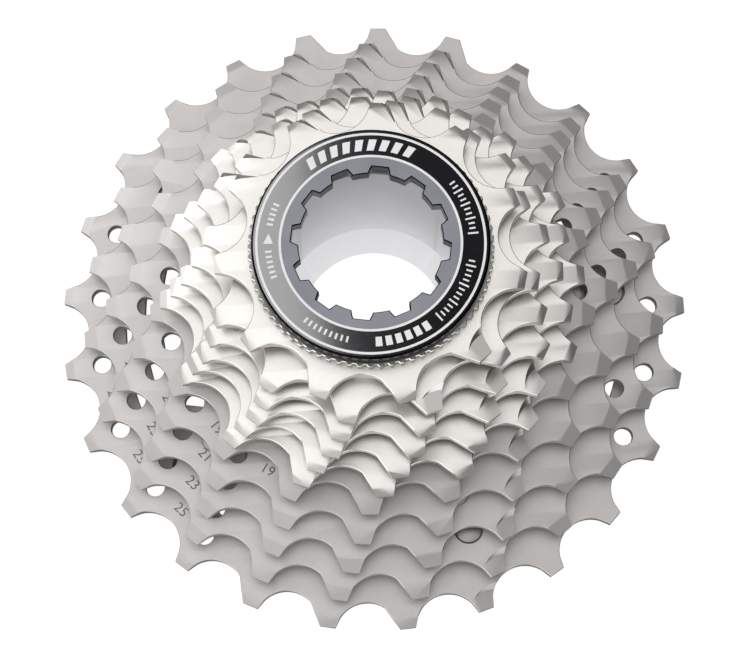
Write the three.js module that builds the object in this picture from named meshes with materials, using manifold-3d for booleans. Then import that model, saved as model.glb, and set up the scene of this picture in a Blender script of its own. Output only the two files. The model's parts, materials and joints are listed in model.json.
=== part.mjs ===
// Eleven-speed road bicycle cassette, 11 to 25 teeth, on the splined sleeve that holds it together.
//
// Millimetres, +Z up. Z is the axis of the freehub. The back of the hub and of the sleeve, the side
// that faces the spokes, lies at z = 0, and the lockring is at the top.

import * as THREE from 'three';
import { mergeVertices } from 'three/addons/utils/BufferGeometryUtils.js';
import Module from 'manifold-3d';

const wasm = await Module();
wasm.setup();

const DEGREE = Math.PI / 180;

// Chain and tooth form
const CHAIN_PITCH = 12.7;
const ROLLER_SEAT = 3.96; // from the pitch circle down to the root circle
const GULLET_RADIUS = 5.2;
const GULLET_HALF_ANGLE = 58;
const GATE_HALF_ANGLE = 30; // where the round gullet ends before the gentle flank of a gate tooth
const GATE_TEETH = 3; // teeth in a row that let the chain climb
const TOOTH_HEIGHT = 4.35;
const TIP_WIDTH = 2.5;

// Stack
const STACK_START = 0.8; // back of the 25-tooth sprocket, in front of the hub's back face
const SPROCKET_STEP = 3.74; // from one sprocket to the next along the axis
const SPROCKET_THICKNESS = 1.6;
const FACE_GAP = 0.04; // between two stacked faces
const FIT_GAP = 0.3; // around a shaft in its bore

// Spline between the sprockets and the sleeve
const SPLINE_COUNT = 9;
const SPLINE_STEP = 360 / SPLINE_COUNT;
const SPLINE_MAJOR_RADIUS = 17.5; // bore of a sprocket between its lugs
const SPLINE_MINOR_RADIUS = 16.4; // inner end of a lug
const LUG_HALF_ANGLE = 6;
const INDEX_LUG_HALF_ANGLE = 3.4; // the one narrow lug that sets the sprockets in line
const GROOVE_SIDE_ANGLE = 1.1;

// Sleeve
const SLEEVE_TOP = 39.4;
const SLEEVE_BORE_RADIUS = 15.0;
const SLEEVE_WALL = 1; // thinnest wall between the bore and the grooves
const SLEEVE_SEAT_RADIUS = 11.8; // narrow back end of the tapered seat in the bore
const SLEEVE_SEAT_HEIGHT = 3.8;
const THREAD_RADIUS = 15.3;
const THREAD_START = 33.4;

// Lockring and its washer
const LOCKRING_RADIUS = 17.2;
const LOCKRING_TOP = 43.4;
const LOCKRING_FLANGE_THICKNESS = 2.36;
const LOCKRING_BOTTOM = 34;
const LOCKRING_SHANK_BORE = 13.6;
const LOCKRING_EDGE = 0.35;
const TOOL_LOBE_RADIUS = 10.4;
const TOOL_NOTCH_RADIUS = 11.45;
const TOOL_NOTCH_COUNT = 12;
const TOOL_NOTCH_DEPTH = 2.0;
const TOOL_NOTCH_WIDTHS = [3.1, 2.3]; // at the inner end and at the outer end
const TOOL_NOTCH_START = 18.5;
const WASHER_RADIUS = 17.85;
const WASHER_SERRATION = 0.35;
const WASHER_TEETH = 48;

// Riveted units. A tooth's number counts from the first gullet after +X, counter-clockwise.
const HOLE_RADIUS = 1.5;
const RIVET_RADIUS = 1.5;
const RIVET_HEAD_RADIUS = 2.2;
const RIVET_HEAD_THICKNESS = 0.5;
const TAB_HALF_WIDTH = 4.0;
const HUB_RADIUS = 21;
const SPIDER_RING = [18.5, 20];
const LARGE_ARMS = { count: 5, start: 72.3 };
const LARGE_RIVETS = { outer: 38.6, inner: 33 };
const SMALL_ARMS = { count: 5, start: 36 };
const SMALL_RIVETS = 26.6;

// Each sprocket from the back to the front: teeth, angle of its first gullet, first tooth of each row of
// gate teeth, depth of the tooth holes under the root circle and the teeth that have one.
const SPROCKETS = [
  { teeth: 25, start: 5.1, gates: [4, 16], holeDepth: 1.75, holes: [0, 1, 10, 11, 12, 13, 14, 15, 22, 23, 24] },
  { teeth: 23, start: 0.5, gates: [4, 15], holeDepth: 1.95, holes: [0, 1, 11, 12, 13, 14, 21] },
  { teeth: 21, start: 12.2, gates: [3, 13], holeDepth: 2.35, holes: [0, 9, 10, 11, 12, 20] },
  { teeth: 19, start: 7.2, gates: [3, 12], holeDepth: 2.15, holes: [0, 8, 9, 10, 11, 18] },
  { teeth: 17, start: 0, gates: [3, 11], holeDepth: 0, holes: [] },
  { teeth: 16, start: 9.9, gates: [2, 10], holeDepth: 0, holes: [] },
  { teeth: 15, start: 21.3, gates: [2, 9], holeDepth: 0, holes: [] },
  { teeth: 14, start: 8.7, gates: [2, 9], holeDepth: 0, holes: [] },
  { teeth: 13, start: 19.95, gates: [2, 8], holeDepth: 0, holes: [] },
  { teeth: 12, start: 1.95, gates: [2, 8], holeDepth: 0, holes: [] },
  { teeth: 11, start: 0.3, gates: [2, 7], holeDepth: 0, holes: [] },
];

const MATERIALS = {
  titanium: { color: 0xa9a49f, roughness: 0.5, metalness: 0.9 },
  nickel: { color: 0xe9e6e1, roughness: 0.25, metalness: 1 },
  aluminium: { color: 0x8f9298, roughness: 0.4, metalness: 0.9 },
  composite: { color: 0x1d1d20, roughness: 0.45, metalness: 0.1 },
  anodised: { color: 0x1b1b20, roughness: 0.25, metalness: 0.6 },
  spacer: { color: 0x3a3b40, roughness: 0.5, metalness: 0.4 },
  rivet: { color: 0xc9c6c1, roughness: 0.35, metalness: 1 },
  sleeve: { color: 0xe8e8ea, roughness: 0.5, metalness: 0 },
};

// ---------------------------------------------------------------- outlines

function polar(radius, degrees) {
  return new THREE.Vector2(radius * Math.cos(degrees * DEGREE), radius * Math.sin(degrees * DEGREE));
}

function arc(radius, from, to, steps) {
  const points = [];
  for (let i = 0; i <= steps; i++) {
    points.push(polar(radius, from + ((to - from) * i) / steps));
  }
  return points;
}

function circle(radius, steps, x = 0, y = 0) {
  return arc(radius, 0, 360 - 360 / steps, steps - 1).map((point) => point.add(new THREE.Vector2(x, y)));
}

function rootRadius(teeth) {
  return CHAIN_PITCH / Math.sin(Math.PI / teeth) / 2 - ROLLER_SEAT;
}

// One round gullet and the tip beside it, repeated round the sprocket. The arc of a gullet ends early
// before a gate tooth.
function toothOutline({ teeth, start, gates }) {
  const root = rootRadius(teeth);
  const tip = root + TOOTH_HEIGHT;
  const pitch = 360 / teeth;
  const tipHalfAngle = TIP_WIDTH / 2 / tip / DEGREE;
  const arcSteps = 6;
  const points = [];
  for (let tooth = 0; tooth < teeth; tooth++) {
    const middle = start + tooth * pitch;
    const isGate = gates.some((first) => tooth >= first && tooth < first + GATE_TEETH);
    const last = isGate ? GATE_HALF_ANGLE : GULLET_HALF_ANGLE;
    points.push(polar(tip, middle - pitch / 2 + tipHalfAngle));
    for (let i = 0; i <= arcSteps; i++) {
      const turn = (-GULLET_HALF_ANGLE + ((last + GULLET_HALF_ANGLE) * i) / arcSteps) * DEGREE;
      const across = GULLET_RADIUS * Math.sin(turn);
      const out = root + GULLET_RADIUS - GULLET_RADIUS * Math.cos(turn);
      points.push(new THREE.Vector2(out, across).rotateAround(new THREE.Vector2(), middle * DEGREE));
    }
    points.push(polar(tip, middle + pitch / 2 - tipHalfAngle));
  }
  return points;
}

// Ring with lugs or grooves at the spline's places: away from them it has outerRadius.
function splineOutline(outerRadius, lugRadius, extraAngle) {
  const points = [];
  for (let i = 0; i < SPLINE_COUNT; i++) {
    const middle = 90 + i * SPLINE_STEP;
    const half = (i === 0 ? INDEX_LUG_HALF_ANGLE : LUG_HALF_ANGLE) + extraAngle;
    const nextHalf = (i === SPLINE_COUNT - 1 ? INDEX_LUG_HALF_ANGLE : LUG_HALF_ANGLE) + extraAngle;
    points.push(...arc(lugRadius, middle - half, middle + half, 1));
    points.push(...arc(outerRadius, middle + half, middle + SPLINE_STEP - nextHalf, 2));
  }
  return points;
}

// Inner edge of a riveted sprocket: wide open between the arms, with a tab at each arm.
function tabbedOutline(openRadius, tabRadius, arms) {
  const step = 360 / arms.count;
  const points = [];
  for (let i = 0; i < arms.count; i++) {
    const middle = arms.start + i * step;
    const tabAngle = TAB_HALF_WIDTH / tabRadius / DEGREE;
    const openAngle = tabAngle + 5;
    points.push(...arc(tabRadius, middle - tabAngle, middle + tabAngle, 1));
    points.push(...arc(openRadius, middle + openAngle, middle + step - openAngle, 6));
  }
  return points;
}

// Straight arms with round ends on a ring that lies inside the hub's wall.
function spiderOutline(reach, halfWidth, arms) {
  const step = 360 / arms.count;
  const foot = Math.asin(halfWidth / SPIDER_RING[1]) / DEGREE;
  const points = [];
  for (let i = 0; i < arms.count; i++) {
    const middle = arms.start + i * step;
    points.push(...arc(SPIDER_RING[1], middle - step + foot, middle - foot, 2));
    for (let k = 0; k <= 4; k++) {
      const turn = (k * 45 - 90) * DEGREE;
      const end = new THREE.Vector2(
        reach - halfWidth + halfWidth * Math.cos(turn),
        halfWidth * Math.sin(turn),
      );
      points.push(end.rotateAround(new THREE.Vector2(), middle * DEGREE));
    }
  }
  return points;
}

// ---------------------------------------------------------------- solids

function plate(outline, holes, bottom, top) {
  const shape = new THREE.Shape(outline);
  for (const hole of holes) {
    shape.holes.push(new THREE.Path([...hole].reverse()));
  }
  const geometry = new THREE.ExtrudeGeometry(shape, { depth: top - bottom, bevelEnabled: false });
  return geometry.translate(0, 0, bottom);
}

// Solid of revolution about Z from a closed list of [radius, height] points.
function turned(profile, segments) {
  const points = [...profile, profile[0]].map(([radius, height]) => new THREE.Vector2(radius, height));
  return new THREE.LatheGeometry(points, segments).rotateX(Math.PI / 2);
}

function toSolid(geometry) {
  const bare = geometry.clone();
  bare.deleteAttribute('normal');
  bare.deleteAttribute('uv');
  const welded = mergeVertices(bare, 1e-4);
  return new wasm.Manifold(
    new wasm.Mesh({
      numProp: 3,
      vertProperties: new Float32Array(welded.attributes.position.array),
      triVerts: new Uint32Array(welded.index.array),
    }),
  );
}

function fromSolid(solid) {
  const mesh = solid.getMesh();
  const geometry = new THREE.BufferGeometry();
  geometry.setAttribute('position', new THREE.BufferAttribute(mesh.vertProperties, 3));
  geometry.setIndex(new THREE.BufferAttribute(mesh.triVerts, 1));
  geometry.computeVertexNormals();
  return geometry;
}

function joined(...geometries) {
  return fromSolid(geometries.map(toSolid).reduce((whole, next) => whole.add(next)));
}

// ---------------------------------------------------------------- pieces

function backFace(index) {
  return STACK_START + index * SPROCKET_STEP;
}

function frontFace(index) {
  return backFace(index) + SPROCKET_THICKNESS;
}

function splineBore() {
  return splineOutline(SPLINE_MAJOR_RADIUS, SPLINE_MINOR_RADIUS, 0);
}

function toothHoles(index) {
  const { teeth, start, holeDepth, holes } = SPROCKETS[index];
  const radius = rootRadius(teeth) - holeDepth;
  return holes.map((tooth) => {
    const middle = polar(radius, start + (tooth + 0.5) * (360 / teeth));
    return circle(HOLE_RADIUS, 8, middle.x, middle.y);
  });
}

function rivetHoles(radii, arms) {
  const outlines = [];
  for (const radius of radii) {
    for (let i = 0; i < arms.count; i++) {
      const middle = polar(radius, arms.start + (i * 360) / arms.count);
      outlines.push(circle(RIVET_RADIUS + FIT_GAP, 8, middle.x, middle.y));
    }
  }
  return outlines;
}

// Sprocket of a riveted unit, open inside and with a tab for the rivets at each arm.
function rivetedSprocket(index, openRadius, tabRadius, rivetRadii, arms) {
  const holes = [tabbedOutline(openRadius, tabRadius, arms)];
  holes.push(...toothHoles(index));
  holes.push(...rivetHoles(rivetRadii, arms));
  return plate(toothOutline(SPROCKETS[index]), holes, backFace(index), frontFace(index));
}

// Separate sprocket with its own splined bore.
function looseSprocket(index) {
  return plate(toothOutline(SPROCKETS[index]), [splineBore()], backFace(index), frontFace(index));
}

// Separate sprocket with the spacer behind it in one piece.
function shoulderedSprocket(index, shoulderRadius) {
  const bottom = frontFace(index - 1) + FACE_GAP;
  const top = backFace(index) + SPROCKET_THICKNESS / 2;
  const shoulder = plate(circle(shoulderRadius, 36), [splineBore()], bottom, top);
  return joined(looseSprocket(index), shoulder);
}

// Spacer ring behind the sprocket at this place, with three short inner lugs.
function spacer(index) {
  const lugs = [];
  for (let i = 0; i < 3; i++) {
    const middle = 90 + SPLINE_STEP * (3 * i + 1);
    lugs.push(...arc(SPLINE_MINOR_RADIUS, middle - LUG_HALF_ANGLE, middle + LUG_HALF_ANGLE, 1));
    lugs.push(...arc(SPLINE_MAJOR_RADIUS, middle + LUG_HALF_ANGLE, middle + 120 - LUG_HALF_ANGLE, 8));
  }
  const bottom = frontFace(index - 1) + FACE_GAP;
  return plate(circle(HUB_RADIUS - 0.5, 36), [lugs], bottom, backFace(index) - FACE_GAP);
}

// Arms of a spider from bottom to top, as far out as reach, with holes for rivets at these radii.
function spiderArms(reach, halfWidth, arms, rivetRadii, bottom, top) {
  const holes = [circle(SPIDER_RING[0], 12), ...rivetHoles(rivetRadii, arms)];
  return plate(spiderOutline(reach, halfWidth, arms), holes, bottom + FACE_GAP, top - FACE_GAP);
}

function hub(bottom, top) {
  return plate(circle(HUB_RADIUS, 40), [splineBore()], bottom, top);
}

// Stepped spider that carries the 25, 23 and 21 tooth sprockets.
function largeCarrier() {
  const { outer, inner } = LARGE_RIVETS;
  const block = spiderArms(29.8, 4.2, LARGE_ARMS, [], frontFace(0), backFace(2));
  const low = spiderArms(41.6, 3.6, LARGE_ARMS, [outer, inner], frontFace(0), backFace(1));
  const high = spiderArms(36.2, 3.4, LARGE_ARMS, [inner], frontFace(1), backFace(2));
  return joined(hub(0, frontFace(2)), block, low, high);
}

// Flat spider that carries the 19 and 17 tooth sprockets.
function smallCarrier() {
  const arms = spiderArms(29.6, 3.4, SMALL_ARMS, [SMALL_RIVETS], frontFace(3), backFace(4));
  return joined(hub(backFace(3), frontFace(4)), arms);
}

// Rivet with a flat head at each end, outside the two sprockets that it holds.
function rivet(bottom, top) {
  const low = bottom - FACE_GAP;
  const high = top + FACE_GAP;
  const profile = [
    [0, low - RIVET_HEAD_THICKNESS],
    [RIVET_HEAD_RADIUS, low - RIVET_HEAD_THICKNESS],
    [RIVET_HEAD_RADIUS, low],
    [RIVET_RADIUS, low],
    [RIVET_RADIUS, high],
    [RIVET_HEAD_RADIUS, high],
    [RIVET_HEAD_RADIUS, high + RIVET_HEAD_THICKNESS],
    [0, high + RIVET_HEAD_THICKNESS],
  ];
  const points = profile.map(([radius, height]) => new THREE.Vector2(radius, height));
  return new THREE.LatheGeometry(points, 8).rotateX(Math.PI / 2);
}

// Splined sleeve with a threaded counterbore for the lockring at its top and a tapered seat at its back.
function sleeve() {
  const grooves = splineOutline(
    SPLINE_MAJOR_RADIUS - FIT_GAP,
    SPLINE_MINOR_RADIUS - FIT_GAP,
    GROOVE_SIDE_ANGLE,
  );
  const body = plate(grooves, [circle(SLEEVE_BORE_RADIUS, 36)], 0, THREAD_START);
  const mouth = plate(grooves, [circle(THREAD_RADIUS + FIT_GAP, 36)], THREAD_START, SLEEVE_TOP);
  const seat = turned(
    [
      [SLEEVE_SEAT_RADIUS, 0],
      [SLEEVE_BORE_RADIUS + SLEEVE_WALL, 0],
      [SLEEVE_BORE_RADIUS + SLEEVE_WALL, SLEEVE_SEAT_HEIGHT],
      [SLEEVE_BORE_RADIUS, SLEEVE_SEAT_HEIGHT],
    ],
    36,
  );
  return joined(body, mouth, seat);
}

function lockringWasher() {
  const rim = [];
  for (let i = 0; i < WASHER_TEETH; i++) {
    const middle = (i * 360) / WASHER_TEETH;
    rim.push(polar(WASHER_RADIUS, middle));
    rim.push(polar(WASHER_RADIUS - WASHER_SERRATION, middle + 180 / WASHER_TEETH));
  }
  const top = LOCKRING_TOP - LOCKRING_FLANGE_THICKNESS - FACE_GAP;
  return plate(rim, [circle(THREAD_RADIUS + FIT_GAP, 36)], frontFace(10) + FACE_GAP, top);
}

function lockring() {
  const flangeBottom = LOCKRING_TOP - LOCKRING_FLANGE_THICKNESS;
  const notchBottom = LOCKRING_TOP - TOOL_NOTCH_DEPTH;
  const body = toSolid(
    turned(
      [
        [TOOL_LOBE_RADIUS, LOCKRING_TOP],
        [TOOL_LOBE_RADIUS, notchBottom],
        [LOCKRING_SHANK_BORE, notchBottom - 1],
        [LOCKRING_SHANK_BORE, LOCKRING_BOTTOM],
        [THREAD_RADIUS, LOCKRING_BOTTOM],
        [THREAD_RADIUS, flangeBottom],
        [LOCKRING_RADIUS, flangeBottom],
        [LOCKRING_RADIUS, LOCKRING_TOP - LOCKRING_EDGE],
        [LOCKRING_RADIUS - LOCKRING_EDGE, LOCKRING_TOP],
      ],
      48,
    ),
  );
  const [innerWidth, outerWidth] = TOOL_NOTCH_WIDTHS;
  const notch = [
    new THREE.Vector2(TOOL_LOBE_RADIUS - 1.5, -innerWidth / 2),
    new THREE.Vector2(TOOL_LOBE_RADIUS, -innerWidth / 2),
    new THREE.Vector2(TOOL_NOTCH_RADIUS, -outerWidth / 2),
    new THREE.Vector2(TOOL_NOTCH_RADIUS, outerWidth / 2),
    new THREE.Vector2(TOOL_LOBE_RADIUS, innerWidth / 2),
    new THREE.Vector2(TOOL_LOBE_RADIUS - 1.5, innerWidth / 2),
  ];
  let cut = body;
  for (let i = 0; i < TOOL_NOTCH_COUNT; i++) {
    const prism = plate(notch, [], notchBottom - 2, LOCKRING_TOP + 1);
    prism.rotateZ((TOOL_NOTCH_START + (i * 360) / TOOL_NOTCH_COUNT) * DEGREE);
    cut = cut.subtract(toSolid(prism));
  }
  return fromSolid(cut);
}

// ---------------------------------------------------------------- assembly

const cassette = new THREE.Group();

function add(name, geometry, material) {
  const mesh = new THREE.Mesh(geometry, new THREE.MeshStandardMaterial(MATERIALS[material]));
  mesh.name = name;
  cassette.add(mesh);
}

function addRivets(name, radius, arms, bottom, top) {
  for (let i = 0; i < arms.count; i++) {
    const middle = polar(radius, arms.start + (i * 360) / arms.count);
    add(`${name}_${i + 1}`, rivet(bottom, top).translate(middle.x, middle.y, 0), 'rivet');
  }
}

const { outer, inner } = LARGE_RIVETS;

add('core_sleeve', sleeve(), 'sleeve');

add('sprocket_25', rivetedSprocket(0, 40.6, 35.9, [outer], LARGE_ARMS), 'titanium');
add('sprocket_23', rivetedSprocket(1, 37.0, 30.2, [outer, inner], LARGE_ARMS), 'titanium');
add('sprocket_21', rivetedSprocket(2, 33.9, 30.2, [inner], LARGE_ARMS), 'titanium');
add('large_carrier', largeCarrier(), 'composite');
addRivets('outer_rivet', outer, LARGE_ARMS, backFace(0), frontFace(1));
addRivets('inner_rivet', inner, LARGE_ARMS, frontFace(0), frontFace(2));

add('spacer_19_21', spacer(3), 'spacer');
add('sprocket_19', rivetedSprocket(3, 28.6, 23.9, [SMALL_RIVETS], SMALL_ARMS), 'titanium');
add('sprocket_17', rivetedSprocket(4, 26.6, 23.9, [SMALL_RIVETS], SMALL_ARMS), 'titanium');
add('small_carrier', smallCarrier(), 'aluminium');
addRivets('small_rivet', SMALL_RIVETS, SMALL_ARMS, backFace(3), frontFace(4));

for (const index of [5, 6, 7, 8]) {
  const { teeth } = SPROCKETS[index];
  add(`spacer_${teeth}_${SPROCKETS[index - 1].teeth}`, spacer(index), 'spacer');
  add(`sprocket_${teeth}`, looseSprocket(index), 'nickel');
}
add('sprocket_12', shoulderedSprocket(9, 19.8), 'nickel');
add('sprocket_11', shoulderedSprocket(10, 18.3), 'nickel');

add('lockring_washer', lockringWasher(), 'nickel');
add('lockring', lockring(), 'anodised');

export default cassette;
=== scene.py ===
"""Looks of an eleven-speed road cassette, 11 to 25 teeth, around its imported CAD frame.

Lengths in the geometry code are millimetres, +Z up, Z the axis of the freehub. They turn into metres
where a mesh is made. Each CAD node has one piece that replaces it and rides on its body. The printed
and engraved marks are pieces of their own.
"""

import json
import math

import bpy
from mathutils import Matrix, Vector
from mathutils.geometry import tessellate_polygon


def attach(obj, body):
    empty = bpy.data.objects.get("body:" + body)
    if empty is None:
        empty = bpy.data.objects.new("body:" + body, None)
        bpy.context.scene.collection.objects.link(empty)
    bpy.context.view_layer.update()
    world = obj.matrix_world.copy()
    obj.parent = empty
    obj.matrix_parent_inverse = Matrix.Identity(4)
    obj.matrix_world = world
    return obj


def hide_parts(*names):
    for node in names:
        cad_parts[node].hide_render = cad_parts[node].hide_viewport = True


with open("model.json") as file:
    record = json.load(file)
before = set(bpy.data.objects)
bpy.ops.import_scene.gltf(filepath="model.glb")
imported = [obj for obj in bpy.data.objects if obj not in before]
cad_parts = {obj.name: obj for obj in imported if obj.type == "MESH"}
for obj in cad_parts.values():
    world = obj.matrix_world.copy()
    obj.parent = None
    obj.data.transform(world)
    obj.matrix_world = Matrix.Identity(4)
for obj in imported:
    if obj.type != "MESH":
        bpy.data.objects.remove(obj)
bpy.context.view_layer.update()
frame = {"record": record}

MM = 0.001

# ---------------------------------------------------------------- driving dimensions

# Chain and tooth form
CHAIN_PITCH = 12.7
ROLLER_SEAT = 3.96
GULLET_RADIUS = 5.2
GULLET_HALF_ANGLE = 58.0
GATE_HALF_ANGLE = 30.0
TOOTH_HEIGHT = 4.35
TIP_WIDTH = 2.5
ARC_STEPS = 22

# Facets round a full circle
RIVET_HOLE_STEPS = 32
HOLE_STEPS = 40
RING_STEPS = 180
HUB_STEPS = 200
PRINT_STEPS = 240

# Stack
STACK_START = 0.8
SPROCKET_STEP = 3.74
SPROCKET_THICKNESS = 1.6
FIRST_NICKEL = 5  # the sprockets from this one on are nickel-plated, those behind it are titanium
FACE_GAP = 0.04
FIT_GAP = 0.3
EDGE = 0.09  # chamfer round both faces of a sprocket
CUT_CLEARANCE = 1.0  # how far a cutter reaches past what it cuts

# Spline
SPLINE_COUNT = 9
SPLINE_STEP = 360 / SPLINE_COUNT
SPLINE_MAJOR = 17.5
SPLINE_MINOR = 16.4
LUG_HALF_ANGLE = 6
INDEX_LUG_HALF_ANGLE = 3.4
GROOVE_SIDE_ANGLE = 1.1

# Sleeve
SLEEVE_TOP = 39.4
SLEEVE_BORE = 15.0
SLEEVE_SEAT_RADIUS = 11.8
SLEEVE_SEAT_HEIGHT = 3.8
SLEEVE_EDGE = 0.25
THREAD_RADIUS = 15.3
THREAD_START = 33.4  # floor of the sleeve's threaded counterbore
THREAD_LEAD = 0.977
THREAD_DEPTH = 0.45

# Lockring and washer
LOCKRING_RADIUS = 17.2
LOCKRING_TOP = 43.4
LOCKRING_BOTTOM = 34
FLANGE_THICKNESS = 2.36
FLANGE_EDGE = 0.15
BAND_EDGE = 0.3
SHANK_BORE = 13.6
SHANK_EDGE = 0.3
LOBE_RADIUS = 10.4
NOTCH_RADIUS = 11.45
NOTCH_COUNT = 12
NOTCH_DEPTH = 2.0
NOTCH_WIDTHS = (3.1, 2.3)
NOTCH_START = 18.5
NOTCH_EDGE = 0.14
NOTCH_FLOOR_DROP = 1  # from the foot of a notch to the bore of the shank
WASHER_RADIUS = 17.85
WASHER_SERRATION = 0.35
WASHER_TEETH = 72
WASHER_EDGE = 0.1

# Printed and engraved marks
INK_INNER = 13.05
INK_OUTER = 16.42
INK_MIDDLE = (INK_INNER + INK_OUTER) / 2
LINE_WIDTH = 0.36
PRINT_THICKNESS = 0.02
PRINT_EDGE = 0.003
BAND_SINK = 0.05
BAND_RISE = 0.008
MARK_THICKNESS = 0.01

# Riveted units
HOLE_RADIUS = 1.5
RIVET_RADIUS = 1.5
RIVET_HEAD_RADIUS = 2.2
RIVET_HEAD_THICKNESS = 0.5
RIVET_RIM = [(0, 0.288), (0.108, 0.09), (0.36, 0)]  # how far in from the rim and below the top
RIVET_END_EDGE = 0.18
TAB_HALF_WIDTH = 4.0
TAB_FLARE = 5
HUB_RADIUS = 21
HUB_EDGE = 0.3
ARM_FOOT_RADIUS = 20
ARM_EDGE = 0.25
SPACER_RADIUS = 20.5
SPACER_EDGE = 0.2
SPACER_LUGS = 3
LARGE_ARMS = {"count": 5, "start": 72.3}
LARGE_RIVETS = {"outer": 38.6, "inner": 33}
SMALL_ARMS = {"count": 5, "start": 36}
SMALL_RIVETS = 26.6

# Sprockets from the back to the front. A tooth's number counts from the first gullet after +X,
# counter-clockwise. The holes name the teeth with a hole below them, as deep as hole_depth under the
# root. The gates are the first of three teeth each that let the chain climb. The ramp is the tooth with
# a milled pocket. The bevel is how far the slanted tip reaches in, and the plain teeth have none.
SPROCKETS = [
    {"teeth": 25, "start": 5.1, "hole_depth": 1.75, "holes": [0, 1, 10, 11, 12, 13, 14, 15, 22, 23, 24],
     "gates": [4, 16], "ramp": 19, "bevel": 1.6, "plain": [4, 5, 6, 20, 21]},
    {"teeth": 23, "start": 0.5, "hole_depth": 1.95, "holes": [0, 1, 11, 12, 13, 14, 21],
     "gates": [4, 15], "ramp": 18, "bevel": 2.2},
    {"teeth": 21, "start": 12.2, "hole_depth": 2.35, "holes": [0, 9, 10, 11, 12, 20],
     "gates": [3, 13], "ramp": 16, "bevel": 2.2},
    {"teeth": 19, "start": 7.2, "hole_depth": 2.15, "holes": [0, 8, 9, 10, 11, 18],
     "gates": [3, 12], "ramp": 15, "bevel": 2.2},
    {"teeth": 17, "start": 0, "hole_depth": 0, "holes": [], "gates": [3, 11], "ramp": 14, "bevel": 2.2},
    {"teeth": 16, "start": 9.9, "hole_depth": 0, "holes": [], "gates": [2, 10], "ramp": 13, "bevel": 1.3},
    {"teeth": 15, "start": 21.3, "hole_depth": 0, "holes": [], "gates": [2, 9], "ramp": 12, "bevel": 1.2},
    {"teeth": 14, "start": 8.7, "hole_depth": 0, "holes": [], "gates": [2, 9], "ramp": 11, "bevel": 1.2},
    {"teeth": 13, "start": 19.95, "hole_depth": 0, "holes": [], "gates": [2, 8], "ramp": 10, "bevel": 1.2},
    {"teeth": 12, "start": 1.95, "hole_depth": 0, "holes": [], "gates": [2, 8], "ramp": 9, "bevel": 1.2},
    {"teeth": 11, "start": 0.3, "hole_depth": 0, "holes": [], "gates": [2, 7], "ramp": 9, "bevel": 1.2},
]
GATE_TEETH = 3
TIP_SLOPE = 20
NICKEL_TIP_SLOPE = 24
TIP_CUT_LENGTH = 4.6
STRIP_SLOPE = 42
STRIP_WIDTH = 0.75
STRIP_LENGTH = 3.6
STRIP_OVERLAP = 0.3  # how far a strip starts before the corner of the tip
STRIP_OVERRUN = 0.6
STRIP_TAPER = 9
POCKET_RADIUS = 4.4
POCKET_DEPTH = 2.9
POCKET_SHIFT = 1.0
POCKET_SLOPE = 13
POCKET_WALL = 45
COUNTERBORE = {"radius": 2.4, "depth": 0.9, "head_below": 0.3}
BLIND_RIVET = 2  # this outer rivet ends under the sprocket in front


# ---------------------------------------------------------------- outlines


def polar(radius, degrees):
    return Vector((radius * math.cos(math.radians(degrees)), radius * math.sin(math.radians(degrees))))


def turned_by(point, degrees):
    return Vector(point).to_2d() @ Matrix.Rotation(-math.radians(degrees), 2)


def arc(radius, start, end, steps):
    return [polar(radius, start + (end - start) * i / steps) for i in range(steps + 1)]


def circle(radius, steps, centre=(0, 0)):
    return [Vector(centre) + polar(radius, 360 * i / steps) for i in range(steps)]


def offset(loop, distance):
    """A counter-clockwise loop moved outwards by distance, with mitred corners."""
    moved = []
    for i, point in enumerate(loop):
        before = (point - loop[i - 1]).normalized()
        after = (loop[(i + 1) % len(loop)] - point).normalized()
        out_before = Vector((before.y, -before.x))
        out = (out_before + Vector((after.y, -after.x))).normalized()
        moved.append(point + out * distance / max(out.dot(out_before), 0.5))
    return moved


def root_radius(teeth):
    return CHAIN_PITCH / math.sin(math.pi / teeth) / 2 - ROLLER_SEAT


def tooth_angle(spec, tooth):
    return spec["start"] + (tooth + 0.5) * 360 / spec["teeth"]


def gate_teeth(spec):
    return {first + i for first in spec["gates"] for i in range(GATE_TEETH)}


def tooth_outline(spec):
    """Round gullets and flat tips. The flank before a gate tooth is long and gentle."""
    teeth = spec["teeth"]
    root = root_radius(teeth)
    tip = root + TOOTH_HEIGHT
    pitch = 360 / teeth
    half_tip = math.degrees(TIP_WIDTH / 2 / tip)
    gates = gate_teeth(spec)
    points = []
    for tooth in range(teeth):
        middle = spec["start"] + tooth * pitch
        last = GATE_HALF_ANGLE if tooth in gates else GULLET_HALF_ANGLE
        points.append(polar(tip, middle - pitch / 2 + half_tip))
        for i in range(ARC_STEPS + 1):
            turn = math.radians(-GULLET_HALF_ANGLE + (last + GULLET_HALF_ANGLE) * i / ARC_STEPS)
            across = GULLET_RADIUS * math.sin(turn)
            out = root + GULLET_RADIUS - GULLET_RADIUS * math.cos(turn)
            points.append(turned_by((out, across), middle))
        points.append(polar(tip, middle + pitch / 2 - half_tip))
    return points


def spline_outline(outer, lug, extra=0.0):
    """Ring with lugs or grooves at the spline's places: away from them it has the outer radius."""
    points = []
    for i in range(SPLINE_COUNT):
        middle = 90 + i * SPLINE_STEP
        half = (INDEX_LUG_HALF_ANGLE if i == 0 else LUG_HALF_ANGLE) + extra
        next_half = (INDEX_LUG_HALF_ANGLE if i == SPLINE_COUNT - 1 else LUG_HALF_ANGLE) + extra
        points += arc(lug, middle - half, middle + half, 4)
        points += arc(outer, middle + half, middle + SPLINE_STEP - next_half, 10)
    return points


def spline_bore():
    return spline_outline(SPLINE_MAJOR, SPLINE_MINOR)


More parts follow.
